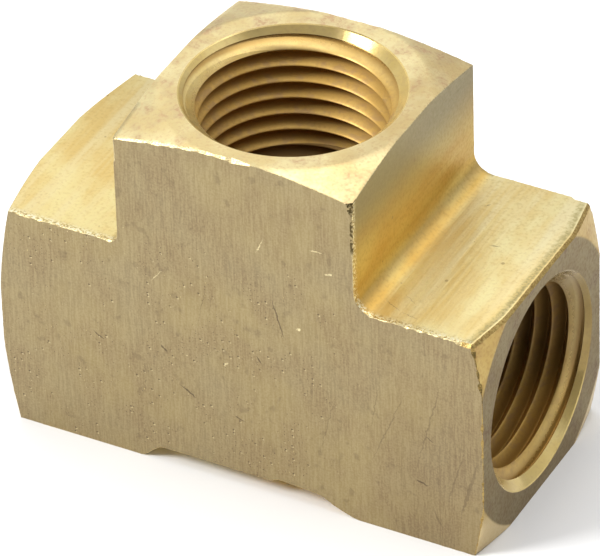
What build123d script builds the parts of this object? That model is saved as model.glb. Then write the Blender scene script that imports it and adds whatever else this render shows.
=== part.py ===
from build123d import *
import os
from math import atan, degrees, radians, tan

# A brass female pipe tee, millimetres. It is a length sawn from an extruded tee-shaped bar. Its three ends
# are faced, chamfered on a cone, drilled, taper reamed, countersunk and tapped for 1/2 inch taper pipe.
# +X runs along the run, +Y through the sawn thickness, +Z up the branch. The origin is on the plane that
# the two feet stand on, straight below the point where the run and branch axes cross.

INCH = 25.4

# Bar section and sawn length
BODY_DEPTH = 1.0 * INCH
RUN_HEIGHT = 24.9
BRANCH_WIDTH = 25.2
LEFT_CORNER_RADIUS = 1.0
RIGHT_CORNER_RADIUS = 2.1

# Centre to end, along the run and up the branch
RUN_REACH = 25.9
BRANCH_REACH = 26.05
AXIS_HEIGHT = RUN_HEIGHT / 2

# The shallow recess that the extrusion die leaves between the two feet. Its roof has one small step.
RECESS_LEFT = -10.9
RECESS_RIGHT = 12.4
RECESS_DEPTH = 1.6
RECESS_LEFT_RAMP = 1.9
RECESS_RIGHT_RAMP = 3.8
RECESS_STEP_X = 3.0
RECESS_STEP_RAMP = 0.9
RECESS_STEP_HEIGHT = 0.35
RECESS_CORNER_RADIUS = 0.6

# End faces: a flat ring turned square to the port, and outside it a cone that falls away to the corners
END_CHAMFER_ANGLE = 16.0
NARROW_FLAT_RADIUS = 13.0
WIDE_FLAT_RADIUS = 14.3

# 1/2-14 taper pipe thread: pitch diameter at the mouth, and a taper of 1 in 16 on diameter
THREAD_PITCH = INCH / 14
MOUTH_PITCH_DIAMETER = 19.772
TAPER_PER_RADIUS = 1 / 32
TAPER_ANGLE = degrees(atan(TAPER_PER_RADIUS))
THREAD_FLANK_ANGLE = 30.0
THREAD_HEIGHT = 0.76 * THREAD_PITCH
MOUTH_CREST_RADIUS = MOUTH_PITCH_DIAMETER / 2 - THREAD_HEIGHT / 2
MOUTH_ROOT_RADIUS = MOUTH_PITCH_DIAMETER / 2 + THREAD_HEIGHT / 2

# Hole below the thread: the tap drill, its point, and the smaller waterway that joins the three ports
COUNTERSINK_RADIUS = 10.9
COUNTERSINK_ANGLE = 45.0
DRILL_RADIUS = 11 / 16 * INCH / 2
DRILL_DEPTH = 17.5
DRILL_POINT_ANGLE = 59.0
WATERWAY_RADIUS = 5 / 8 * INCH / 2

# Tap: how deep it cuts a full thread, and how deep its tapered lead reaches
FULL_THREAD_DEPTH = 13.0
TAP_DEPTH = 15.2

# How far cutting tools stand clear of what they cut, and how far a tap's flanks run on below the crests
CLEAR = 1.0
FLANK_OVERRUN = 0.05

# A port is a plane at the middle of an end face, with its own Z pointing out of the port.
BRANCH_PORT = Plane(origin=(0, 0, AXIS_HEIGHT + BRANCH_REACH), x_dir=(1, 0, 0), z_dir=(0, 0, 1))
LEFT_PORT = Plane(origin=(-RUN_REACH, 0, AXIS_HEIGHT), x_dir=(0, 1, 0), z_dir=(-1, 0, 0))
RIGHT_PORT = Plane(origin=(RUN_REACH, 0, AXIS_HEIGHT), x_dir=(0, 1, 0), z_dir=(1, 0, 0))

# Each port with the radius of its flat ring, and the angle about the port that its thread starts from
PORTS = [
    (BRANCH_PORT, NARROW_FLAT_RADIUS, -17),
    (LEFT_PORT, NARROW_FLAT_RADIUS, 75),
    (RIGHT_PORT, WIDE_FLAT_RADIUS, 180),
]
# A groove cuts cleanly where it doesn't start on the hole's own seam, so the hole is turned away from it.
SEAM_TURN = -90


def recess_points():
    """The underside from the left foot to the right foot, as (x, z) corners."""
    slope_end = RECESS_RIGHT - RECESS_RIGHT_RAMP
    return [
        (RECESS_LEFT, 0),
        (RECESS_LEFT + RECESS_LEFT_RAMP, RECESS_DEPTH),
        (RECESS_STEP_X, RECESS_DEPTH),
        (RECESS_STEP_X + RECESS_STEP_RAMP, RECESS_DEPTH + RECESS_STEP_HEIGHT),
        (slope_end, RECESS_DEPTH),
        (RECESS_RIGHT, 0),
    ]


def bar():
    """The sawn length of tee-shaped bar, with square ends."""
    half_width = BRANCH_WIDTH / 2
    top = AXIS_HEIGHT + BRANCH_REACH
    feet = [(-RUN_REACH, 0), *recess_points(), (RUN_REACH, 0)]
    right_side = [(RUN_REACH, RUN_HEIGHT), (half_width, RUN_HEIGHT), (half_width, top)]
    left_side = [(-half_width, top), (-half_width, RUN_HEIGHT), (-RUN_REACH, RUN_HEIGHT)]
    outline = Polyline(*feet, *right_side, *left_side, close=True)
    section = make_face(outline)
    section = fillet(corners_at(section, (RECESS_LEFT, RECESS_RIGHT), 0), RECESS_CORNER_RADIUS)
    section = fillet(corners_at(section, (half_width,), RUN_HEIGHT), RIGHT_CORNER_RADIUS)
    section = fillet(corners_at(section, (-half_width,), RUN_HEIGHT), LEFT_CORNER_RADIUS)
    return extrude(Plane.XZ * section, BODY_DEPTH / 2, both=True)


def corners_at(section, xs, y):
    """The corners of the section that lie at height y and at one of the given x values."""
    near = 1e-3
    found = [v for v in section.vertices() if abs(v.Y - y) < near]
    return [v for v in found if min(abs(v.X - x) for x in xs) < near]


def end_envelope(flat_radius):
    """What facing and chamfering an end leave, on port axes: everything behind the flat ring and the cone."""
    reach = 1.2 * RUN_REACH
    fall = (reach - flat_radius) * tan(radians(END_CHAMFER_ANGLE))
    depth = 3 * RUN_REACH
    profile = Polyline((0, 0), (flat_radius, 0), (reach, -fall), (reach, -depth), (0, -depth), close=True)
    return revolve(Plane.XZ * make_face(profile), Axis.Z)


def port_hole():
    """The smooth hole of one port, on port axes: countersink, reamed taper, tap drill and drill point."""
    sink = COUNTERSINK_RADIUS + CLEAR * tan(radians(COUNTERSINK_ANGLE))
    narrowing = tan(radians(COUNTERSINK_ANGLE)) - TAPER_PER_RADIUS
    sink_depth = (COUNTERSINK_RADIUS - MOUTH_CREST_RADIUS) / narrowing
    sink_radius = MOUTH_CREST_RADIUS - sink_depth * TAPER_PER_RADIUS
    ream_depth = (MOUTH_CREST_RADIUS - DRILL_RADIUS) / TAPER_PER_RADIUS
    point = DRILL_RADIUS / tan(radians(DRILL_POINT_ANGLE))
    profile = Polyline(
        (0, CLEAR),
        (sink, CLEAR),
        (sink_radius, -sink_depth),
        (DRILL_RADIUS, -ream_depth),
        (DRILL_RADIUS, -DRILL_DEPTH),
        (0, -DRILL_DEPTH - point),
        close=True,
    )
    return revolve(Plane.XZ * make_face(profile), Axis.Z)


def thread_groove():
    """The helical groove of one port, on port axes: a tapered ridge trimmed to the reach of the tap."""
    turns = int(TAP_DEPTH / THREAD_PITCH) + 3
    length = turns * THREAD_PITCH
    start = -TAP_DEPTH - THREAD_PITCH / 2
    start_shift = start * TAPER_PER_RADIUS
    slope = tan(radians(THREAD_FLANK_ANGLE))
    root_half_width = THREAD_PITCH / 4 - THREAD_HEIGHT / 2 * slope
    foot_half_width = THREAD_PITCH / 4 + (THREAD_HEIGHT / 2 + FLANK_OVERRUN) * slope
    root_radius = MOUTH_ROOT_RADIUS + start_shift
    foot_radius = MOUTH_CREST_RADIUS + start_shift - FLANK_OVERRUN
    core_radius = foot_radius - CLEAR / 2
    ridge = Polyline(
        (root_radius, start - root_half_width),
        (root_radius, start + root_half_width),
        (foot_radius, start + foot_half_width),
        (core_radius, start + foot_half_width),
        (core_radius, start - foot_half_width),
        (foot_radius, start - foot_half_width),
        close=True,
    )
    helix_radius = MOUTH_PITCH_DIAMETER / 2 + start_shift
    helix = Pos(0, 0, start) * Helix(THREAD_PITCH, length, helix_radius, cone_angle=TAPER_ANGLE)
    swept = sweep(Plane.XZ * make_face(ridge), path=helix, is_frenet=True)
    return swept & tap_envelope()


def tap_envelope():
    """The space that the tap can reach, on port axes: a wide cylinder with a tapered lead below it."""
    wide = COUNTERSINK_RADIUS + CLEAR
    full_root = MOUTH_ROOT_RADIUS - FULL_THREAD_DEPTH * TAPER_PER_RADIUS
    profile = Polyline(
        (0, CLEAR),
        (wide, CLEAR),
        (wide, -FULL_THREAD_DEPTH + CLEAR),
        (full_root, -FULL_THREAD_DEPTH),
        (DRILL_RADIUS, -TAP_DEPTH),
        (0, -TAP_DEPTH),
        close=True,
    )
    return revolve(Plane.XZ * make_face(profile), Axis.Z)


def waterway():
    """The passages that join the three ports inside."""
    run = Cylinder(WATERWAY_RADIUS, 2 * RUN_REACH - 2 * DRILL_DEPTH, rotation=(0, 90, 0))
    up = Cylinder(WATERWAY_RADIUS, BRANCH_REACH - DRILL_DEPTH, align=(Align.CENTER, Align.CENTER, Align.MIN))
    return Pos(0, 0, AXIS_HEIGHT) * (run + up)


def tee_body():
    """The whole fitting, one solid."""
    body = bar() - waterway()
    hole = port_hole()
    groove = thread_groove()
    for port, flat_radius, thread_turn in PORTS:
        body = body & (port * end_envelope(flat_radius))
        body = body - (port * Rot(0, 0, thread_turn + SEAM_TURN) * hole)
        body = body - (port * Rot(0, 0, thread_turn) * groove)
    return body


os.makedirs("parts", exist_ok=True)
body = tee_body()
body.label = "tee_body"
export_step(body, "parts/tee_body.step")
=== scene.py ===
import math
from collections import namedtuple

import bmesh
import bpy
from mathutils import Matrix, Vector, noise


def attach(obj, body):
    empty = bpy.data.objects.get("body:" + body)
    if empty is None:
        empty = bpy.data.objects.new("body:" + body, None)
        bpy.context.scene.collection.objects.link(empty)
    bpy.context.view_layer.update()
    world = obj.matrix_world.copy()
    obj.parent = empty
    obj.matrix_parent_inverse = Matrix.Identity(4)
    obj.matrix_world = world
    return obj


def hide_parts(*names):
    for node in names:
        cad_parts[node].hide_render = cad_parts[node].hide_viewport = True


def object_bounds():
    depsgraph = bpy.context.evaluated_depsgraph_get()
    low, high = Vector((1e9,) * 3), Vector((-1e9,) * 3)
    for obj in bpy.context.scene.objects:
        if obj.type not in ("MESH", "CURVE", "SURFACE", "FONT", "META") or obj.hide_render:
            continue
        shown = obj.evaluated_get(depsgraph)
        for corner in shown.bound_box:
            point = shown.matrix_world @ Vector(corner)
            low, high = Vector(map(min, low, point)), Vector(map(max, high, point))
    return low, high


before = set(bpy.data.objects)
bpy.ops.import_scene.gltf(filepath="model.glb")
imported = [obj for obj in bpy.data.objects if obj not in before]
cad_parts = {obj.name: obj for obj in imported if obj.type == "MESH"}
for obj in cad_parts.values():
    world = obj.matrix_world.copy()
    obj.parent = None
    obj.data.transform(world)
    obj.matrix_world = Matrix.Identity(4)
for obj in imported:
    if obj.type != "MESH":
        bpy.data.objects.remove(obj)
cad_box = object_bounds()

MM = 0.001
INCH = 25.4

# ---------------------------------------------------------------- sizes, in millimetres

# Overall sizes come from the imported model
highest = cad_box[1]
RUN_REACH = highest.x / MM
HALF_DEPTH = highest.y / MM
TOP = highest.z / MM

# Section of the bar
RUN_HEIGHT = 24.9
AXIS_HEIGHT = RUN_HEIGHT / 2
BRANCH_HALF_WIDTH = 12.6
LEFT_CORNER_RADIUS = 1.0
RIGHT_CORNER_RADIUS = 2.1
RECESS_LEFT, RECESS_RIGHT = -10.9, 12.4
RECESS_DEPTH = 1.6

# End faces
CHAMFER_SLOPE = math.tan(math.radians(16.0))
NARROW_FLAT_RADIUS = 13.0
WIDE_FLAT_RADIUS = 14.3

# Thread, 14 turns to the inch
PITCH = INCH / 14
TAPER = 1 / 32
FLANK_SLOPE = math.tan(math.radians(30.0))
PITCH_RADIUS = 19.772 / 2
THREAD_HALF_HEIGHT = 0.38 * PITCH
THREAD_ROUNDING = 0.12
FULL_THREAD_DEPTH = 13.0
TAP_DEPTH = 15.2

# Hole. The rim of the countersink is eased, from a little outside it to a little inside it
COUNTERSINK_RADIUS = 10.9
COUNTERSINK_DEPTH = 1.757
RIM_EASE = 0.07
RIM_EASE_INWARDS = 0.06
DRILL_RADIUS = 11 / 16 * INCH / 2
DRILL_DEPTH = 17.5
DRILL_POINT = math.tan(math.radians(59.0))
WATERWAY_RADIUS = 5 / 8 * INCH / 2

# A port: the middle of its face, the way it faces, where its angles are counted from, the radius of its flat
# ring, and the angle in degrees that its thread starts from
Port = namedtuple("Port", "place out x_way flat_radius thread_turn")
PORTS = {
    "branch": Port((0, 0, TOP), (0, 0, 1), (1, 0, 0), NARROW_FLAT_RADIUS, -17),
    "left": Port((-RUN_REACH, 0, AXIS_HEIGHT), (-1, 0, 0), (0, 1, 0), NARROW_FLAT_RADIUS, 75),
    "right": Port((RUN_REACH, 0, AXIS_HEIGHT), (1, 0, 0), (0, 1, 0), WIDE_FLAT_RADIUS, 180),
}


# ---------------------------------------------------------------- small helpers


def port_matrix(port, turn=0.0):
    """Places port axes, with Z out of the port, into the object's frame."""
    z = Vector(port.out)
    x = Vector(port.x_way)
    axes = Matrix((x, z.cross(x), z)).transposed().to_4x4()
    return Matrix.Translation(port.place) @ axes @ Matrix.Rotation(math.radians(turn), 4, "Z")


def past_port(point, port):
    """How far a point lies from a port's axis, and how far out of the port's face."""
    out = Vector(port.out)
    offset = Vector(point) - Vector(port.place)
    height = offset.dot(out)
    return (offset - out * height).length, height


def solid(name, points, faces, matrix=Matrix.Identity(4)):
    """An object from plain points and faces, with its normals turned outwards."""
    mesh = bpy.data.meshes.new(name)
    mesh.from_pydata(points, [], faces)
    mesh.transform(matrix)
    made = bpy.data.objects.new(name, mesh)
    bpy.context.scene.collection.objects.link(made)
    shape = bmesh.new()
    shape.from_mesh(mesh)
    bmesh.ops.recalc_face_normals(shape, faces=shape.faces)
    if shape.calc_volume(signed=True) < 0:
        bmesh.ops.reverse_faces(shape, faces=shape.faces)
    shape.to_mesh(mesh)
    shape.free()
    return made


def revolved(name, outline, matrix, steps):
    """A closed solid of revolution about Z. The outline's first and last points are rings with flat caps."""
    points = []
    for radius, height in outline:
        for i in range(steps):
            angle = 2 * math.pi * i / steps
            points.append((radius * math.cos(angle), radius * math.sin(angle), height))
    last_ring = (len(outline) - 1) * steps
    faces = [list(range(steps)), list(range(last_ring, last_ring + steps))]
    for ring in range(0, last_ring, steps):
        for i in range(steps):
            j = (i + 1) % steps
            faces.append([ring + i, ring + j, ring + steps + j, ring + steps + i])
    return solid(name, points, faces, matrix)


def cut(body, tool, surface):
    """Cuts the tool out of the body, and removes the tool. The new faces get the material index surface."""
    for polygon in tool.data.polygons:
        polygon.material_index = surface
    modifier = body.modifiers.new("cut", "BOOLEAN")
    modifier.solver = "MANIFOLD"
    modifier.operation = "DIFFERENCE"
    modifier.object = tool
    graph = bpy.context.evaluated_depsgraph_get()
    mesh = bpy.data.meshes.new_from_object(body.evaluated_get(graph), depsgraph=graph)
    body.modifiers.clear()
    uncut = body.data
    body.data = mesh
    bpy.data.meshes.remove(uncut)
    bpy.data.objects.remove(tool)


# ---------------------------------------------------------------- the outer skin

# The outer skin is a grid. Each row runs once round the bar's section, and the rows follow each other from
# the front face to the back face. A station is one place round the section. The ends are then pulled back
# on their cones.

# The surfaces, which are also the material indices
SAWN, EXTRUDED, TURNED, TAPPED, WORN = range(5)

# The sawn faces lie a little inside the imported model's box, so that the burr can stand out
BURR_ROOM = 0.05
FRONT = HALF_DEPTH - BURR_ROOM

# Distance between points, and how far plain stations stop short of a corner or a fillet
GRID_STEP = 0.29
CORNER_GAP = 0.55
FILLET_GAP = 0.5
FOOT_STEP = 0.5
FOOT_STEPS = 10

# The rolled lip and the dip on top of the right arm: distance from its end, and height above the arm
LIP = [(0.0, 0.01), (0.35, 0.015), (0.55, 0.0), (0.75, -0.02), (1.05, -0.022), (1.4, -0.008), (1.9, 0.0)]
LIP_END = 2.5

# How far across the broken part of an edge its points lie, and how close together they may come
ACROSS = (0.0, 0.5, 1.0)
LEAST_BREAK = 0.015

# The burr's teeth: how many to a millimetre, and how far they stand out
TEETH = 2.3
TOOTH_HEIGHT = 0.045

# The torn ribbon along the branch's front top edge steps down at x = NOTCH, and ends after NOTCH_LENGTH
NOTCH = -0.3
NOTCH_LENGTH = 2.3

# The branch's front right edge is torn between these heights
TORN_LOW, TORN_HIGH = 31.5, 36.0

# What lies less than this behind the run's ends counts as their edges
END_ZONE = 2.0

# How far behind an end the pull that makes its cone has faded out
WARP_LENGTH = 5.0


class Station:
    """One place round the section: a plain point with its normal, or a point across a broken corner."""

    def __init__(self, place, surface, normal=None, corner=None):
        self.place = Vector(place)
        self.surface = surface
        self.normal = Vector(normal) if normal else None
        self.corner = corner

    def at(self, y, inset):
        """Its place in the row at depth y, moved inwards by inset."""
        if not self.corner:
            return self.place - self.normal * inset
        # A broken corner is rounded over its width, and what is left of the rounding after the inset stays
        before, after, across = self.corner
        width = rough_width((self.place.x, y, self.place.y))
        way = before.lerp(after, across)
        return self.place - (before + after) * max(width, inset) + way * max(width - inset, LEAST_BREAK)


def straight(start, end, step, surface, gaps=(CORNER_GAP, CORNER_GAP)):
    """Plain stations from start to end, which stop short of both by the gaps."""
    start, end = Vector(start), Vector(end)
    along = (end - start).normalized()
    first, last = start + along * gaps[0], end - along * gaps[1]
    count = max(1, round((last - first).length / step))
    normal = (along.y, -along.x)
    return [Station(first.lerp(last, i / count), surface, normal) for i in range(count + 1)]


def corner(place, before, after):
    """The three stations of a broken corner between faces with the normals before and after."""
    before, after = Vector(before), Vector(after)
    return [Station(place, WORN, None, (before, after, across)) for across in ACROSS]


def fillet(centre, radius, start, end, steps):
    """Stations on a concave fillet, angles in degrees."""
    angles = [math.radians(start + (end - start) * i / steps) for i in range(steps + 1)]
    ways = [Vector((math.cos(angle), math.sin(angle))) for angle in angles]
    return [Station(Vector(centre) + way * radius, EXTRUDED, -way) for way in ways]


def profile(points):
    """Extruded stations through points, with their normals from the neighbouring points."""
    made = []
    for before, here, after in zip(points, points[1:], points[2:]):
        along = (Vector(after) - Vector(before)).normalized()
        made.append(Station(here, EXTRUDED, (along.y, -along.x)))
    return made


def underside():
    """The two feet, and the shallow recess between them with its one small step, as (x, z)."""
    left, right, roof = RECESS_LEFT, RECESS_RIGHT, RECESS_DEPTH
    # The recess has rounded corners, and its step starts just before x = 3
    recess = [
        (left - 0.8, 0),
        (left - 0.25, 0),
        (left + 0.1, 0.08),
        (left + 0.4, 0.32),
        (left + 1.4, 1.22),
        (left + 1.75, 1.48),
        (left + 2.15, roof),
        (left + 2.8, roof),
        (2.3, roof),
        (2.8, roof - 0.02),
        (3.15, roof + 0.04),
        (3.75, roof + 0.31),
        (4.1, roof + 0.36),
        (8.3, roof + 0.06),
        (8.8, roof - 0.08),
        (9.8, 0.9),
        (10.8, 0.5),
        (12.0, 0.1),
        (right + 0.1, 0),
        (right + 0.8, 0),
    ]
    inwards = [CORNER_GAP + FOOT_STEP * i for i in range(FOOT_STEPS)]
    left_foot = [(-RUN_REACH + distance, 0) for distance in inwards]
    right_foot = [(RUN_REACH - distance, 0) for distance in reversed(inwards)]
    return profile([(-RUN_REACH, 0), *left_foot, *recess, *right_foot, (RUN_REACH, 0)])


def right_shoulder():
    """The top of the right arm from its end inwards: the lip, the dip, and the plain part up to the fillet."""
    length = RUN_REACH - BRANCH_HALF_WIDTH - RIGHT_CORNER_RADIUS
    count = round((length - LIP_END) / GRID_STEP) - 1
    plain = [(LIP_END + GRID_STEP * i, 0.0) for i in range(count)]
    return profile([(RUN_REACH - inwards, RUN_HEIGHT + up) for inwards, up in [*LIP, *plain]])


def section():
    """All stations, anticlockwise from the bottom left corner."""
    reach, half, high = RUN_REACH, BRANCH_HALF_WIDTH, RUN_HEIGHT
    left, right = LEFT_CORNER_RADIUS, RIGHT_CORNER_RADIUS
    down, up, east, west = (0, -1), (0, 1), (1, 0), (-1, 0)
    side_step = 2 * GRID_STEP
    after_fillet = (FILLET_GAP, CORNER_GAP)
    before_fillet = (CORNER_GAP, FILLET_GAP)
    return [
        *corner((-reach, 0), west, down),
        *underside(),
        *corner((reach, 0), down, east),
        *straight((reach, 0), (reach, high), GRID_STEP, TURNED),
        *corner((reach, high), east, up),
        *right_shoulder(),
        *fillet((half + right, high + right), right, 270, 180, 10),
        *straight((half, high + right), (half, TOP), side_step, EXTRUDED, after_fillet),
        *corner((half, TOP), east, up),
        *straight((half, TOP), (-half, TOP), GRID_STEP, TURNED),
        *corner((-half, TOP), up, west),
        *straight((-half, TOP), (-half, high + left), side_step, EXTRUDED, before_fillet),
        *fillet((-half - left, high + left), left, 0, -90, 6),
        *straight((-half - left, high), (-reach, high), GRID_STEP, EXTRUDED, after_fillet),
        *corner((-reach, high), up, west),
        *straight((-reach, high), (-reach, 0), GRID_STEP, TURNED),
    ]


def rough_width(point):
    """How wide an outer edge is broken, in millimetres. It wanders, and is wider where it is knocked."""
    x, y, z = point
    wander = 0.5 + 0.5 * noise.fractal(Vector((x, y, z)) * 1.6, 1.0, 2.0, 3)
    spike = max(0.0, wander - 0.45)
    width = 0.025 + 0.04 * wander
    at_front = y < -HALF_DEPTH + 0.4
    on_top = z > TOP - 2.5
    # The torn ribbon along the branch's front top edge, and the deeper part after its step
    if at_front and on_top and x < NOTCH:
        width = 0.07 + 0.24 * wander
    if at_front and on_top and NOTCH <= x < NOTCH + NOTCH_LENGTH:
        width = 0.42 - 0.12 * (x - NOTCH)
    # The branch's chipped front right corner, and the torn edge below it
    if at_front and z > TOP - 1.2 and x > BRANCH_HALF_WIDTH - 0.3:
        width = 0.45
    if at_front and abs(x - BRANCH_HALF_WIDTH) < 0.3 and TORN_LOW < z < TORN_HIGH:
        width = 0.1 + 0.25 * wander
    # The branch's front left corner
    if at_front and x < -BRANCH_HALF_WIDTH + 0.3 and z > TOP - 4:
        width = 0.05 + 0.2 * wander
    # The front edges of the two arms' tops, and the right end's front edge
    if at_front and abs(z - RUN_HEIGHT) < 1:
        width = 0.02 + 0.4 * spike
    if at_front and x > RUN_REACH - END_ZONE and z < RUN_HEIGHT - 1:
        width = 0.04 + 0.5 * spike
    # The top edge of the right end
    if x > RUN_REACH - END_ZONE and z > RUN_HEIGHT - 1:
        width = 0.26 + 0.08 * wander
    return width


def burr(point):
    """How far the broken edge stands out, in millimetres: a torn line of small teeth."""
    x, y, z = point
    # The shift along Z keeps the teeth from following the wander of rough_width
    shift = 9
    place = Vector((x * TEETH, y * TEETH, z * TEETH + shift))
    return TOOTH_HEIGHT * noise.fractal(place, 0.7, 2.0, 3)


def pulled_back(point):
    """Moves a point near an end back on the end's cone. The pull fades out over WARP_LENGTH."""
    point = Vector(point)
    for port in PORTS.values():
        away, height = past_port(point, port)
        fall = max(0.0, away - port.flat_radius) * CHAMFER_SLOPE
        near = 1 + height / WARP_LENGTH
        if near > 0:
            point -= Vector(port.out) * fall * near
    return point


def in_the_box(point):
    """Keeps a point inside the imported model's box."""
    x, y, z = point
    x = min(max(x, -RUN_REACH), RUN_REACH)
    y = min(max(y, -HALF_DEPTH), HALF_DEPTH)
    return x, y, min(max(z, 0.0), TOP)


def skin_rows():
    """The rows from front to back: the part of the skin that each is in, and how far across that part it is."""
    count = round((2 * FRONT - 2 * CORNER_GAP) / GRID_STEP)
    front = [("front", 1 - across) for across in ACROSS]
    inner = [("inner", i / count) for i in range(count + 1)]
    back = [("back", across) for across in ACROSS]
    return [*front, *inner, *back]


def skin_point(station, part, amount):
    """The grid's point at one station of one row."""
    if part == "inner":
        y = -FRONT + CORNER_GAP + amount * (2 * FRONT - 2 * CORNER_GAP)
        place = station.at(y, 0.0)
    else:
        side = -1 if part == "front" else 1
        edge = (station.place.x, side * HALF_DEPTH, station.place.y)
        width = rough_width(edge)
        out = burr(edge) if 0 < amount < 1 else 0.0
        y = side * (FRONT - width * (1 - amount) + out)
        place = station.at(y, width * amount - out)
    return in_the_box(pulled_back((place.x, y, place.y)))


def surface_between(one, other):
    """The surface between two neighbouring stations. WORN is the highest number, so it takes two worn ones."""
    return min(one.surface, other.surface)


def skin():
    """The closed outer skin."""
    stations = section()
    rows = skin_rows()
    points = [skin_point(station, *row) for row in rows for station in stations]
    count = len(stations)
    faces = [list(range(count)), list(range(len(points) - count, len(points)))]
    surfaces = [SAWN, SAWN]
    for j, (row, next_row) in enumerate(zip(rows, rows[1:])):
        across_edge = row[0] == next_row[0] and row[0] != "inner"
        for i in range(count):
            k = (i + 1) % count
            faces.append([j * count + i, j * count + k, (j + 1) * count + k, (j + 1) * count + i])
            surfaces.append(WORN if across_edge else surface_between(stations[i], stations[k]))
    made = solid("tee_fitting", points, faces)
    for polygon, surface in zip(made.data.polygons, surfaces):
        polygon.material_index = surface
    return made


# ---------------------------------------------------------------- the ports

# A port is cut by three tools: the drill with the waterway, the tap, and the countersink
TURN_STEPS = 120
SINK_CLEAR_RADIUS = COUNTERSINK_RADIUS + 1.5
SINK_CLEAR_HEIGHT = 1.0

# The drill's facets are turned a little, so that they don't lie in the tap's. The run's two waterways overlap
DRILL_STEPS = 96
DRILL_TURN = 1.25
DRILL_EASE = 0.01
DRILL_START = DRILL_DEPTH - 1.6
WATERWAY_OVERLAP = 0.5

# The tap cuts down to TAP_END, inside the drilled hole. Below that it is thinner than the waterway, and its
# upper turns reach out of the port
TAP_END = DRILL_DEPTH - 1.4
TAP_CORE_RADIUS = WATERWAY_RADIUS - 0.5
TAP_TURNS = 11
TAP_BASE = -TAP_DEPTH - 1.5 * PITCH
TAP_CAP = 0.3

# Heights across half a thread, from the middle of a groove to the middle of a crest
HALF_PITCH = PITCH / 2
THREAD_STEPS = [0.0, 0.06, 0.13, 0.22, 0.46, 0.70, 0.79, 0.86, HALF_PITCH]

# How closely a point lies on the countersink's cone, and how far below its end it may be
CONE_TOLERANCE = 0.02
CONE_OVERRUN = 0.1


def thread_radius(across, height):
    """Radius of the tap. across is the distance from the middle of a groove, and height is below 0 inside."""
    if height < -TAP_END:
        return TAP_CORE_RADIUS
    flank = (PITCH / 4 - across) / FLANK_SLOPE
    groove_side = math.hypot(flank + THREAD_HALF_HEIGHT, THREAD_ROUNDING)
    crest_side = math.hypot(flank - THREAD_HALF_HEIGHT, THREAD_ROUNDING)
    radius = PITCH_RADIUS + height * TAPER + (groove_side - crest_side) / 2
    if height < -FULL_THREAD_DEPTH:
        full_root = PITCH_RADIUS + THREAD_HALF_HEIGHT - FULL_THREAD_DEPTH * TAPER
        past_full = -height - FULL_THREAD_DEPTH
        lead = full_root - past_full * (full_root - DRILL_RADIUS) / (TAP_DEPTH - FULL_THREAD_DEPTH)
        radius = min(radius, lead)
    return max(radius, DRILL_RADIUS)


def tap_points():
    """Columns of points up the tap, one to an angle, then its two end rings, and the rows to a turn."""
    ups = [*THREAD_STEPS, *[PITCH - up for up in THREAD_STEPS[-2:0:-1]]]
    angles = [2 * math.pi * i / TURN_STEPS for i in range(TURN_STEPS)]
    points = []
    for i, angle in enumerate(angles):
        for turn in range(TAP_TURNS):
            for up in ups:
                height = TAP_BASE + PITCH * (turn + i / TURN_STEPS) + up
                radius = thread_radius(min(up, PITCH - up), height)
                points.append((radius * math.cos(angle), radius * math.sin(angle), height))
    low = TAP_BASE - TAP_CAP
    high = TAP_BASE + PITCH * (TAP_TURNS + 1)
    for height, radius in ((low, TAP_CORE_RADIUS), (high, PITCH_RADIUS)):
        points += [(radius * math.cos(angle), radius * math.sin(angle), height) for angle in angles]
    return points, len(ups)


def tap(port):
    """What the tap removes from a port. Its rows follow the helix, so that crests and roots are smooth."""
    points, rows_per_turn = tap_points()
    rows = rows_per_turn * TAP_TURNS
    top_row = rows - 1
    end = TURN_STEPS - 1
    low_ring = TURN_STEPS * rows
    high_ring = low_ring + TURN_STEPS

    def at(i, j):
        """The point in column i and row j. After a whole turn, the rows have risen by one pitch."""
        return i * rows + j if i <= end else j + rows_per_turn

    faces = []
    for i in range(TURN_STEPS):
        last = top_row if i < end else top_row - rows_per_turn
        for j in range(last):
            faces.append([at(i, j), at(i + 1, j), at(i + 1, j + 1), at(i, j + 1)])
    for i in range(end):
        faces.append([low_ring + i, low_ring + i + 1, at(i + 1, 0), at(i, 0)])
        faces.append([at(i, top_row), at(i + 1, top_row), high_ring + i + 1, high_ring + i])
    low_seam = [at(0, j) for j in range(rows_per_turn + 1)]
    faces.append([at(end, 0), low_ring + end, low_ring, *low_seam])
    high_seam = [at(end, j) for j in range(top_row, top_row - rows_per_turn - 1, -1)]
    faces.append([*high_seam, at(0, top_row), high_ring, high_ring + end])
    faces.append(list(range(low_ring, high_ring)))
    faces.append(list(range(high_ring, high_ring + TURN_STEPS)))
    return solid("tap", points, faces, port_matrix(port, port.thread_turn))


def countersink(port):
    """The countersink of a port, with its eased rim."""
    outline = [
        (SINK_CLEAR_RADIUS, SINK_CLEAR_HEIGHT),
        (COUNTERSINK_RADIUS + RIM_EASE, 0),
        (COUNTERSINK_RADIUS - RIM_EASE_INWARDS, -RIM_EASE),
        (COUNTERSINK_RADIUS - COUNTERSINK_DEPTH, -COUNTERSINK_DEPTH),
    ]
    return revolved("countersink", outline, port_matrix(port), TURN_STEPS)


def drill(port):
    """The plain end of a port's hole, and the waterway beyond it to the middle of the fitting."""
    point_depth = DRILL_DEPTH + (DRILL_RADIUS - WATERWAY_RADIUS) / DRILL_POINT
    reach = TOP - AXIS_HEIGHT if port is PORTS["branch"] else RUN_REACH + WATERWAY_OVERLAP
    outline = [
        (DRILL_RADIUS + DRILL_EASE, -DRILL_START),
        (DRILL_RADIUS + DRILL_EASE, -DRILL_DEPTH),
        (WATERWAY_RADIUS, -point_depth),
        (WATERWAY_RADIUS, -reach),
    ]
    return revolved("drill", outline, port_matrix(port, DRILL_TURN), DRILL_STEPS)


def cut_ports(body):
    """Drills, taps and countersinks the three ports."""
    for port in PORTS.values():
        cut(body, drill(port), TAPPED)
    for port in PORTS.values():
        cut(body, tap(port), TAPPED)
        cut(body, countersink(port), TAPPED)


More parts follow.
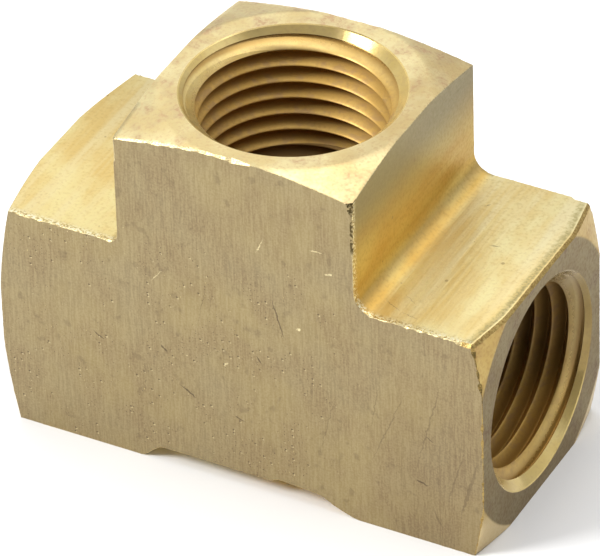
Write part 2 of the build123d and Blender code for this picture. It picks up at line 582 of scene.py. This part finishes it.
def on_countersink(face, port):
    """Whether a face lies on the countersink's cone of a port."""
    for vertex in face.verts:
        away, height = past_port(vertex.co, port)
        if not 0 < -height < COUNTERSINK_DEPTH + CONE_OVERRUN:
            return False
        if abs(away - height - COUNTERSINK_RADIUS) > CONE_TOLERANCE:
            return False
    return True


def crisp_countersinks(mesh):
    """Keeps the shading of the countersinks apart from the shading of the threads that they meet."""
    shape = bmesh.new()
    shape.from_mesh(mesh)
    sunk = {face for face in shape.faces if any(on_countersink(face, port) for port in PORTS.values())}
    for edge in shape.edges:
        if len({face in sunk for face in edge.link_faces}) > 1:
            edge.smooth = False
    shape.to_mesh(mesh)
    shape.free()


# ---------------------------------------------------------------- materials

# How far the side of a mark fades and how far noise pushes it about, in millimetres, and the noise's scale
MARK_SOFTNESS = 0.06
MARK_WAVER = 0.5
MARK_WAVER_SCALE = 2.0

# How fast a dot grows with its cell's luck, and how fast it fades at its rim
DOT_GROWTH = 4.0
DOT_CRISPNESS = 3.0


class Nodes:
    """Builds the nodes of one tree. A value is a number, a vector or another node's output."""

    def __init__(self, tree):
        self.tree = tree

    def node(self, kind, values=(), **settings):
        """A new node with its first inputs fed with values."""
        made = self.tree.nodes.new(kind)
        for key, value in settings.items():
            setattr(made, key, value)
        for socket, value in zip(made.inputs, values):
            self.feed(socket, value)
        return made

    def feed(self, socket, value):
        """Links a node's output to a socket, or sets a number or a vector on it."""
        if isinstance(value, bpy.types.NodeSocket):
            self.tree.links.new(value, socket)
        else:
            socket.default_value = value

    def span(self, value, low, high, to_low=0.0, to_high=1.0):
        """Maps low..high smoothly to to_low..to_high, and holds the ends."""
        values = (value, low, high, to_low, to_high)
        return self.node("ShaderNodeMapRange", values, interpolation_type="SMOOTHSTEP").outputs[0]


class Recipe(Nodes):
    """Builds one material's nodes. Lengths are in millimetres."""

    def __init__(self, name):
        self.material = bpy.data.materials.new(name)
        self.material.use_nodes = True
        super().__init__(self.material.node_tree)
        self.shader = self.tree.nodes["Principled BSDF"]
        self.shader.inputs["Metallic"].default_value = 1
        place = self.node("ShaderNodeTexCoord").outputs["Object"]
        self.place = self.vector("MULTIPLY", place, (1 / MM,) * 3)
        self.x, self.y, self.z = self.node("ShaderNodeSeparateXYZ", (self.place,)).outputs

    def math(self, operation, *values, clamp=False):
        return self.node("ShaderNodeMath", values, operation=operation, use_clamp=clamp).outputs[0]

    def product(self, *values):
        """The values multiplied together."""
        total = values[0]
        for value in values[1:]:
            total = self.math("MULTIPLY", total, value)
        return total

    def opposite(self, value):
        """One minus the value."""
        return self.math("SUBTRACT", 1.0, value)

    def most(self, *values):
        """The largest of the values."""
        total = values[0]
        for value in values[1:]:
            total = self.math("MAXIMUM", total, value)
        return total

    def vector(self, operation, *values):
        return self.node("ShaderNodeVectorMath", values, operation=operation).outputs[0]

    def dot(self, a, b):
        return self.node("ShaderNodeVectorMath", (a, b), operation="DOT_PRODUCT").outputs["Value"]

    def join(self, x, y, z):
        return self.node("ShaderNodeCombineXYZ", (x, y, z)).outputs[0]

    def noise(self, scale, detail, stretch=(1, 1, 1), place=None):
        """Noise between 0 and 1. scale is features per millimetre, and stretch squeezes it per axis."""
        made = self.node("ShaderNodeTexNoise")
        self.feed(made.inputs["Vector"], self.vector("MULTIPLY", place or self.place, stretch))
        made.inputs["Scale"].default_value = scale
        made.inputs["Detail"].default_value = detail
        return made.outputs[0]

    def dots(self, scale, biggest, kept, across, up):
        """Round dots, one to a cell of 1/scale millimetres. kept is the share of the cells that have one."""
        cells = self.node("ShaderNodeTexVoronoi", voronoi_dimensions="2D")
        self.feed(cells.inputs["Vector"], self.join(across, up, 0.0))
        cells.inputs["Scale"].default_value = scale
        luck = self.node("ShaderNodeSeparateColor", (cells.outputs["Color"],)).outputs[0]
        chosen = self.math("SUBTRACT", luck, self.opposite(kept))
        size = self.math("MULTIPLY", chosen, DOT_GROWTH, clamp=True)
        spare = self.math("SUBTRACT", self.product(size, biggest * scale), cells.outputs["Distance"])
        return self.math("MULTIPLY", spare, DOT_CRISPNESS / (biggest * scale), clamp=True)

    def streak(self, place, start, end, width):
        """A mark between two points of a flat face. It narrows towards its ends."""
        way = Vector((end[0] - start[0], 0, end[1] - start[1]))
        side = Vector((-way.z, 0, way.x)).normalized()
        off = self.vector("SUBTRACT", place, (start[0], 0, start[1]))
        along = self.dot(off, way / way.length_squared)
        limit = self.product(along, self.opposite(along), 2 * width)
        spare = self.math("SUBTRACT", limit, self.math("ABSOLUTE", self.dot(off, side)))
        return self.math("MULTIPLY", spare, 1 / MARK_SOFTNESS, clamp=True)

    def streaks(self, marks, across, up, within):
        """The given marks, with a wavering outline, in the part of the surface where within is 1."""
        waver = self.node("ShaderNodeTexNoise")
        self.feed(waver.inputs["Vector"], self.place)
        waver.inputs["Scale"].default_value = MARK_WAVER_SCALE
        middle = 0.5
        shift = self.vector("SUBTRACT", waver.outputs["Color"], (middle,) * 3)
        place = self.vector("MULTIPLY_ADD", shift, (MARK_WAVER,) * 3, self.join(across, 0.0, up))
        found = [self.streak(place, start, end, width) for start, end, width in marks]
        return self.product(self.most(*found), within)

    def on_run(self):
        """1 on the run, 0 on the branch."""
        return self.math("LESS_THAN", self.z, RUN_HEIGHT + 1)

    def from_axis(self):
        """How far a point lies from the axis of its port."""
        run_off = self.join(0.0, self.y, self.math("SUBTRACT", self.z, AXIS_HEIGHT))
        off = self.node("ShaderNodeMix", data_type="VECTOR")
        self.feed(off.inputs["Factor"], self.math("GREATER_THAN", self.z, RUN_HEIGHT + 1))
        self.feed(off.inputs["A"], run_off)
        self.feed(off.inputs["B"], self.join(self.x, self.y, 0.0))
        length = self.node("ShaderNodeVectorMath", (off.outputs["Result"],), operation="LENGTH")
        return length.outputs["Value"]

    def below_face(self):
        """How deep a point lies below the face of its port."""
        into_branch = self.math("SUBTRACT", TOP, self.z)
        into_run = self.math("SUBTRACT", RUN_REACH, self.math("ABSOLUTE", self.x))
        return self.math("MINIMUM", into_branch, into_run)

    def mix(self, factor, first, second, blend="MIX"):
        """Blends the second colour over the first one."""
        made = self.node("ShaderNodeMix", data_type="RGBA", blend_type=blend)
        self.feed(made.inputs["Factor"], factor)
        for name, colour in (("A", first), ("B", second)):
            self.feed(made.inputs[name], (*colour, 1) if isinstance(colour, tuple) else colour)
        return made.outputs["Result"]

    def shade(self, factor, colour, tint):
        """Multiplies a colour by a tint."""
        return self.mix(factor, colour, tint, "MULTIPLY")

    def sum(self, *parts):
        """Adds up (weight, value) pairs."""
        total = 0.0
        for weight, value in parts:
            total = self.math("MULTIPLY_ADD", value, weight, total)
        return total

    def finish(self, colour, roughness, height, depth):
        """Sets the colour, the roughness and a bump of the given depth."""
        self.feed(self.shader.inputs["Base Color"], colour)
        self.feed(self.shader.inputs["Roughness"], roughness)
        bump = self.node("ShaderNodeBump")
        bump.inputs["Distance"].default_value = depth * MM
        self.feed(bump.inputs["Height"], height)
        self.feed(self.shader.inputs["Normal"], bump.outputs[0])
        return self.material


# Scratches and knocks of the front face, placed one by one: start and end as (x, z), and width in millimetres
DARK_MARKS = [
    ((3.8, 23.8), (5.2, 18.9), 0.22),
    ((-3.1, 23.2), (-4.5, 17.0), 0.10),
    ((-15.9, 13.6), (-14.5, 12.8), 0.24),
    ((-8.4, 14.3), (-7.6, 13.4), 0.26),
    ((2.0, 16.3), (2.7, 15.4), 0.22),
    ((-6.5, 10.1), (-4.6, 8.9), 0.30),
    ((-0.9, 8.5), (0.7, 7.7), 0.16),
    ((18.6, 7.2), (20.3, 6.7), 0.24),
    ((19.6, 12.8), (20.9, 12.1), 0.18),
]
FAINT_MARKS = [
    ((21.8, 20.2), (18.6, 7.6), 0.20),
    ((18.1, 17.8), (13.6, 6.4), 0.18),
    ((15.1, 17.4), (14.0, 11.2), 0.16),
    ((25.4, 11.6), (23.4, 3.8), 0.40),
    ((24.2, 13.0), (21.9, 4.6), 0.20),
    ((20.5, 4.3), (21.7, 1.7), 0.26),
    ((10.8, 15.9), (8.2, 5.6), 0.14),
    ((-2.2, 24.6), (-3.6, 15.2), 0.10),
]
BRIGHT_MARKS = [
    ((2.3, 28.5), (3.3, 30.6), 0.16),
    ((8.0, 30.6), (9.5, 30.65), 0.20),
    ((9.5, 28.25), (10.5, 28.55), 0.22),
    ((-9.2, 21.5), (-7.8, 23.3), 0.14),
    ((-1.6, 14.1), (-0.9, 14.35), 0.24),
    ((6.4, 20.7), (6.9, 21.1), 0.34),
]
# The same for the top of the right arm, as (x, y)
ARM_MARKS = [
    ((19.3, 2.2), (20.4, 2.5), 0.26),
    ((14.3, -9.6), (16.5, -10.7), 0.13),
    ((16.4, -10.7), (18.8, -11.1), 0.13),
    ((15.6, -8.0), (17.6, -9.3), 0.10),
    ((16.0, 7.6), (16.6, 8.3), 0.16),
]


def sawn_specks(r, patch):
    """The small marks of a sawn face, with a painted highlight beside each pit: how dark, how bright and how
    golden each point is made by them.
    """
    # They are many on the run, and few on the branch and towards the right end
    low = r.span(r.z, RUN_HEIGHT - 1, RUN_HEIGHT + 6, 0.38, 0.02)
    kept = r.product(low, r.span(patch, 0.35, 0.6, 0.3, 1.0), r.span(r.x, 6, 15, 1, 0.25))
    few = r.product(kept, 0.4)
    # The pattern's own plane is shifted along Y, so that the back has other marks than the front
    across = r.math("MULTIPLY_ADD", r.y, 5.0, r.x)
    pits = r.dots(1.25, 0.11, kept, across, r.z)
    # Each pit has a painted highlight beside it
    pit_highlights = r.dots(1.25, 0.10, kept, r.math("ADD", across, -0.11), r.math("ADD", r.z, 0.13))
    specks = r.dots(0.8, 0.13, few, r.math("ADD", across, 31.3), r.z)
    crumbs = r.dots(2.6, 0.06, kept, r.math("ADD", across, 7.7), r.z)
    flecks = r.dots(1.8, 0.09, few, r.math("ADD", across, 3.1), r.product(r.z, 0.45))
    dark = r.most(pits, crumbs)
    bright = r.most(r.product(pit_highlights, 0.6), specks)
    return dark, bright, flecks


def sawn_brass():
    """The front and back: fine upright saw lines, brown haze, small pits with a painted highlight at one edge,
    and scratches.
    """
    r = Recipe("brass_sawn")
    haze = r.noise(0.10, 3)
    patch = r.noise(0.30, 4, (1, 1, 0.7))
    lines = r.noise(4.2, 2, (1, 1, 0.06))
    fine = r.noise(9.0, 1, (1, 1, 0.10))
    grain = r.noise(4.5, 3)
    smudges = r.noise(0.9, 3, (1, 1, 0.8), r.vector("ADD", r.place, (2, 9, 4)))
    colour = r.mix(r.span(haze, 0.35, 0.65), (0.318, 0.251, 0.142), (0.362, 0.280, 0.137))
    colour = r.mix(r.span(patch, 0.35, 0.7, 0, 0.7), colour, (0.309, 0.224, 0.124))
    streaked = r.sum((0.35, lines), (0.25, fine), (0.40, grain))
    colour = r.mix(r.span(streaked, 0.38, 0.62, 0, 0.75), colour, (0.458, 0.367, 0.198))
    colour = r.mix(r.span(smudges, 0.60, 0.72, 0, 0.35), colour, (0.20, 0.145, 0.085))
    # The lower part of the right end is a little darker: painted shade
    low_right_shade = r.product(r.span(r.x, 12, 20), r.span(r.z, 8, 22, 0.8, 0))
    colour = r.shade(low_right_shade, colour, (0.84, 0.82, 0.84))

    on_front = r.math("LESS_THAN", r.y, 0.0)
    scratches = r.streaks(DARK_MARKS, r.x, r.z, on_front)
    knocks = r.streaks(BRIGHT_MARKS, r.x, r.z, on_front)
    faint = r.streaks(FAINT_MARKS, r.x, r.z, on_front)
    dark_specks, specks_and_highlights, flecks = sawn_specks(r, patch)
    dark = r.most(dark_specks, scratches)
    bright = r.product(r.most(specks_and_highlights, knocks), r.span(grain, 0.35, 0.6, 0.4, 0.9))
    colour = r.mix(r.product(faint, 0.42), colour, (0.16, 0.115, 0.07))
    colour = r.mix(r.product(flecks, 0.7), colour, (0.80, 0.66, 0.30))
    colour = r.mix(bright, colour, (0.90, 0.78, 0.46))
    colour = r.mix(r.product(dark, 0.72), colour, (0.11, 0.075, 0.05))
    height = r.sum((0.6, lines), (0.5, fine), (0.4, grain), (-0.8, dark))
    return r.finish(colour, r.span(patch, 0.3, 0.7, 0.42, 0.5), height, 0.012)


def right_arm_dip(r):
    """1 in the dip beside the lip of the right arm, which follows the curved edge of the end's cone."""
    past_flat = r.most(r.math("SUBTRACT", r.from_axis(), WIDE_FLAT_RADIUS), 0.0)
    edge = r.math("SUBTRACT", RUN_REACH, r.product(past_flat, CHAMFER_SLOPE))
    inboard = r.math("SUBTRACT", edge, r.x)
    return r.product(r.span(inboard, 0.35, 0.55), r.span(inboard, 0.8, 1.4, 1, 0))


def extruded_brass():
    """The sides of the bar: soft lines along its length, golden and olive clouds, torn metal at the front, and
    painted reflection and shade.
    """
    r = Recipe("brass_extruded")
    wide = r.noise(0.55, 3, (1, 0.06, 1))
    lines = r.noise(2.2, 3, (1, 0.04, 1))
    fine = r.noise(6.0, 2, (1, 0.05, 1))
    clouds = r.noise(0.26, 4, (1, 0.5, 1))
    grain = r.noise(3.0, 4)
    crumbs = r.noise(5.0, 3)
    colour = r.mix(r.span(clouds, 0.35, 0.65), (0.90, 0.69, 0.28), (1.0, 0.89, 0.47))
    colour = r.mix(r.span(wide, 0.5, 0.72, 0, 0.7), colour, (1.0, 0.90, 0.56))
    colour = r.mix(r.span(lines, 0.4, 0.7, 0, 0.4), colour, (1.0, 0.85, 0.46))
    colour = r.mix(r.span(grain, 0.46, 0.72, 0, 0.3), colour, (0.62, 0.46, 0.19))

    # The branch's sides and the fillets below them are a deeper gold, a painted reflection of the lit arm tops,
    # and turn olive towards the top, which is painted shade
    side_reflection = r.span(r.z, RUN_HEIGHT, RUN_HEIGHT + 1.2)
    colour = r.shade(side_reflection, colour, (0.70, 0.57, 0.30))
    # The top of the right arm beside the fillet is tinted gold too: a painted reflection of the branch's side
    beside_branch = r.span(r.x, BRANCH_HALF_WIDTH + 1.2, BRANCH_HALF_WIDTH + 2.2, 1, 0)
    on_right = r.math("GREATER_THAN", r.x, 0.0)
    fillet_foot_reflection = r.product(beside_branch, on_right, r.opposite(side_reflection))
    colour = r.shade(fillet_foot_reflection, colour, (0.92, 0.74, 0.42))
    colour = r.mix(r.span(r.z, RUN_HEIGHT + 3, TOP - 2, 0, 0.9), colour, (0.27, 0.23, 0.125))

    # The back half and the left side are a little darker: painted shade
    colour = r.shade(r.span(r.y, -6, HALF_DEPTH), colour, (0.80, 0.80, 0.82))
    colour = r.shade(r.math("LESS_THAN", r.x, 0.0), colour, (0.90, 0.87, 0.80))

    # The dip beside the lip is tinted a darker olive, broken up by the grain
    dip_tint = r.product(right_arm_dip(r), r.span(grain, 0.40, 0.60, 0.35, 0.85))
    colour = r.mix(dip_tint, colour, (0.48, 0.41, 0.19))
    torn = r.span(r.y, 0.25 - HALF_DEPTH, 1.1 - HALF_DEPTH, 1, 0)
    colour = r.mix(r.product(torn, r.span(crumbs, 0.50, 0.56)), colour, (1.0, 0.94, 0.68))
    colour = r.mix(r.product(torn, r.span(crumbs, 0.46, 0.40)), colour, (0.50, 0.37, 0.17))
    spots = r.dots(0.30, 0.22, 0.3, r.math("ADD", r.x, r.z), r.y)
    colour = r.mix(r.product(spots, 0.5), colour, (0.26, 0.17, 0.07))
    on_arm = r.math("GREATER_THAN", r.z, RUN_HEIGHT - 1)
    scratches = r.streaks(ARM_MARKS, r.x, r.y, on_arm)
    colour = r.mix(r.product(scratches, 0.7), colour, (0.24, 0.17, 0.09))
    height = r.sum((0.5, wide), (0.5, lines), (0.25, fine), (0.15, grain), (1.0, r.product(torn, crumbs)))
    return r.finish(colour, r.span(grain, 0.3, 0.7, 0.40, 0.50), height, 0.034)


def turned_brass():
    """The faced ends: fine rings about each port, run ends darkened by painted shade, and pinkish tarnish in
    places.
    """
    r = Recipe("brass_turned")
    away = r.from_axis()
    rings = r.noise(1.0, 3, place=r.join(r.product(away, 4.0), 0.0, 0.0))
    grain = r.noise(3.0, 4)
    clouds = r.noise(0.28, 4)
    smudges = r.noise(0.45, 5, place=r.vector("ADD", r.place, (5, 3, 9)))
    colour = r.mix(r.span(clouds, 0.35, 0.65), (0.84, 0.67, 0.32), (0.94, 0.81, 0.44))
    colour = r.mix(r.span(smudges, 0.48, 0.62, 0, 0.5), colour, (0.76, 0.60, 0.32))
    colour = r.mix(r.span(grain, 0.46, 0.70, 0, 0.5), colour, (0.72, 0.52, 0.27))
    tarnish = r.product(r.span(smudges, 0.56, 0.68, 0, 1), r.span(grain, 0.40, 0.60, 0.1, 0.6))
    colour = r.mix(tarnish, colour, (0.62, 0.38, 0.22))

    # The run's ends are darkened and their flat rings greyed: painted shade, for the shadowed floor that they
    # reflect
    on_run = r.on_run()
    on_flat = r.span(away, WIDE_FLAT_RADIUS - 0.25, WIDE_FLAT_RADIUS + 0.05, 1, 0)
    colour = r.shade(on_run, colour, (0.54, 0.46, 0.31))
    colour = r.shade(r.product(on_run, on_flat), colour, (0.50, 0.52, 0.62))
    # The right part of the branch's end is rubbed
    rubbed = r.product(r.opposite(on_run), r.span(r.x, 7.5, 11.0, 0, 0.6))
    colour = r.shade(rubbed, colour, (0.72, 0.66, 0.62))
    # The run's cones are paler at the feet: a painted reflection of the lit floor
    cone_foot_reflection = r.product(on_run, r.opposite(on_flat), r.span(r.z, 3, 6, 0.8, 0))
    colour = r.mix(cone_foot_reflection, colour, (0.72, 0.58, 0.33))
    height = r.sum((0.7, rings), (0.6, grain))
    return r.finish(colour, r.span(grain, 0.3, 0.7, 0.32, 0.44), height, 0.02)


def tapped_brass():
    """The countersinks, threads and bores: gold at the mouth, dull tan inside, brown in the grooves, and
    painted shade in the upper part of the run's ports and at the back of the branch's countersink.
    """
    r = Recipe("brass_tapped")
    away, depth = r.from_axis(), r.below_face()
    grain = r.noise(2.4, 4)
    clouds = r.noise(0.3, 3)
    stains = r.noise(0.8, 4, (1, 1, 1.6))
    colour = r.mix(r.span(clouds, 0.35, 0.7), (0.76, 0.57, 0.20), (0.84, 0.66, 0.27))
    colour = r.mix(r.span(grain, 0.45, 0.75, 0, 0.5), colour, (0.60, 0.42, 0.18))
    inside = r.span(depth, 0.9, 2.4)
    colour = r.shade(inside, colour, (0.76, 0.62, 0.40))
    stained = r.product(inside, r.span(stains, 0.47, 0.66, 0, 0.65))
    colour = r.mix(stained, colour, (0.44, 0.27, 0.11))

    # The grooves are browner, and are known by their level from the crests to the roots
    past_cone = r.math("ADD", away, depth)
    below_cone = r.span(past_cone, COUNTERSINK_RADIUS + 0.05, COUNTERSINK_RADIUS + 0.25)
    level = r.math("MULTIPLY_ADD", depth, TAPER, away)
    root = r.product(below_cone, r.span(level, PITCH_RADIUS - 0.40, PITCH_RADIUS + 0.40), 0.85)
    colour = r.mix(root, colour, (0.46, 0.27, 0.06))

    # Painted shade: the upper part of the run's ports is darkened, and so is the back of the branch's
    # countersink, for the dark surroundings that they reflect
    on_run = r.on_run()
    upper_port_shade = r.product(on_run, r.span(r.z, AXIS_HEIGHT - 9, AXIS_HEIGHT - 3, 0, 0.92))
    colour = r.shade(upper_port_shade, colour, (0.40, 0.36, 0.31))
    branch_cone = r.product(r.opposite(on_run), r.opposite(below_cone))
    behind = r.product(branch_cone, r.span(r.y, 4.5, 7.5), r.span(r.x, 1.5, 4.5, 0.85, 0))
    colour = r.shade(behind, colour, (0.38, 0.36, 0.32))

    roughness = r.sum((0.12, grain), (0.25, inside), (0.16, 1.0))
    r.shader.inputs["Metallic"].default_value = 0.5
    height = r.sum((0.5, grain), (1.2, stains))
    return r.finish(colour, roughness, height, 0.009)


def worn_brass():
    """The broken edges: torn, rubbed metal, darkened where the front edges are chipped, with painted shade on
    the upper part of the right end's front edge.
    """
    r = Recipe("brass_worn")
    grain = r.noise(3.5, 4)
    crumbs = r.noise(6.0, 3)
    colour = r.mix(r.span(grain, 0.35, 0.65), (0.56, 0.44, 0.22), (0.78, 0.67, 0.38))
    colour = r.mix(r.span(crumbs, 0.52, 0.64, 0, 0.7), colour, (0.34, 0.25, 0.12))
    zone = RUN_REACH - END_ZONE
    at_end = r.span(r.math("ABSOLUTE", r.x), zone - 0.5, zone)
    colour = r.shade(at_end, colour, (0.66, 0.56, 0.37))

    # The branch's front right edge is darkened where it is torn, and the upper part of the right end's front
    # edge is darkened as painted shade
    off_edge = r.math("ABSOLUTE", r.math("SUBTRACT", r.x, BRANCH_HALF_WIDTH))
    above_torn = r.span(r.z, TORN_LOW - 0.5, TORN_LOW + 0.5)
    on_branch_edge = r.product(r.math("LESS_THAN", off_edge, 0.6), above_torn)
    at_right_end = r.span(r.x, zone - 0.5, zone)
    below_top = r.math("LESS_THAN", r.z, RUN_HEIGHT - 0.7)
    end_edge_shade = r.product(at_right_end, r.span(r.z, 16.5, 19, 0, 0.8), below_top)
    at_front = r.math("LESS_THAN", r.y, 1 - HALF_DEPTH)
    edge_darkening = r.product(r.most(on_branch_edge, end_edge_shade), at_front, r.span(grain, 0.42, 0.54, 0.25, 0.95))
    colour = r.mix(edge_darkening, colour, (0.10, 0.07, 0.025))
    return r.finish(colour, r.span(grain, 0.3, 0.7, 0.36, 0.55), crumbs, 0.04)


# ---------------------------------------------------------------- the fitting

SHARP_ANGLE = 35
# A face whose normal has a part this large is square to an axis, and stays flat
SQUARE = 0.9999

body = skin()
# In the order of the surfaces
for make in (sawn_brass, extruded_brass, turned_brass, tapped_brass, worn_brass):
    body.data.materials.append(make())
cut_ports(body)
# Cutting leaves an empty last slot
body.data.materials.pop()
body.data.set_sharp_from_angle(angle=math.radians(SHARP_ANGLE))
crisp_countersinks(body.data)
body.data.transform(Matrix.Scale(MM, 4))
for polygon in body.data.polygons:
    polygon.use_smooth = max(abs(part) for part in polygon.normal) < SQUARE

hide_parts("tee_body")
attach(body, "root")


# ---------------------------------------------------------------- floor, light and camera

FLOOR_WIDTH = 6.0

# The soft lights: the direction that each shines from, the angle that it fills in degrees, and its strength
LIGHTS = {
    "key": ((-0.593, -0.511, 0.631), 20, 2.5),
    "overhead": ((0.1, 0.15, 1), 45, 0.5),
}

# The photograph's view in degrees and millimetres: the camera's angles round the object, its roll, how far
# away it is, and how far its aim lies across and up from the point where the axes cross
VIEW_AZIMUTH, VIEW_ELEVATION, VIEW_ROLL = 28.70, 36.61, -1.85
VIEW_DISTANCE = 658.7
VIEW_ACROSS, VIEW_UP = -0.046, 3.127
LENS, SENSOR_WIDTH = 410.0, 36.0


def floor():
    """A plain pale floor."""
    mesh = bpy.data.meshes.new("floor")
    half = FLOOR_WIDTH / 2
    corners = [(-half, -half, 0), (half, -half, 0), (half, half, 0), (-half, half, 0)]
    mesh.from_pydata(corners, [], [(0, 1, 2, 3)])
    made = bpy.data.objects.new("floor", mesh)
    bpy.context.scene.collection.objects.link(made)
    material = bpy.data.materials.new("pale_floor")
    material.use_nodes = True
    shader = material.node_tree.nodes["Principled BSDF"]
    shader.inputs["Base Color"].default_value = (0.93, 0.93, 0.93, 1)
    shader.inputs["Roughness"].default_value = 0.9
    mesh.materials.append(material)


def far_light(name, direction, angle, strength):
    """A soft light from far away."""
    light = bpy.data.lights.new(name, "SUN")
    light.energy = strength
    light.angle = math.radians(angle)
    made = bpy.data.objects.new(name, light)
    made.rotation_euler = Vector(direction).to_track_quat("Z", "Y").to_euler()
    bpy.context.scene.collection.objects.link(made)


def studio():
    """A pale room: bright behind and overhead, dim in front."""
    made = bpy.data.worlds.new("studio")
    made.use_nodes = True
    nodes = Nodes(made.node_tree)
    way = nodes.node("ShaderNodeTexCoord").outputs["Generated"]
    apart = nodes.node("ShaderNodeSeparateXYZ", (way,))
    behind = nodes.span(apart.outputs["Z"], 0.0, 0.9, 0.40, 1.22)
    ahead = nodes.span(apart.outputs["Z"], 0.6, 1.0, 0.10, 1.6)
    background = made.node_tree.nodes["Background"]
    nodes.feed(background.inputs["Color"], (1, 1, 1, 1))
    nodes.feed(background.inputs["Strength"], nodes.span(apart.outputs["Y"], -0.2, 0.45, ahead, behind))
    bpy.context.scene.world = made


def camera():
    """The camera, at the photograph's viewing angle."""
    azimuth, elevation, roll = [math.radians(a) for a in (VIEW_AZIMUTH, VIEW_ELEVATION, VIEW_ROLL)]
    outwards = Vector((math.sin(azimuth), -math.cos(azimuth), 0))
    back = outwards * math.cos(elevation) + Vector((0, 0, math.sin(elevation)))
    level = Vector((math.cos(azimuth), math.sin(azimuth), 0))
    upright = back.cross(level)
    right = level * math.cos(roll) + upright * math.sin(roll)
    up = upright * math.cos(roll) - level * math.sin(roll)
    place = Vector((0, 0, AXIS_HEIGHT)) + right * VIEW_ACROSS + up * VIEW_UP + back * VIEW_DISTANCE
    data = bpy.data.cameras.new("camera")
    data.lens = LENS
    data.sensor_width = SENSOR_WIDTH
    data.clip_start, data.clip_end = 0.01, 20
    made = bpy.data.objects.new("camera", data)
    turn = Matrix((right, up, back)).transposed().to_4x4()
    made.matrix_world = Matrix.Translation(place * MM) @ turn
    bpy.context.scene.collection.objects.link(made)
    bpy.context.scene.camera = made


floor()
studio()
for name, light in LIGHTS.items():
    far_light(name, *light)
camera()
bpy.context.scene.view_settings.view_transform = "Standard"
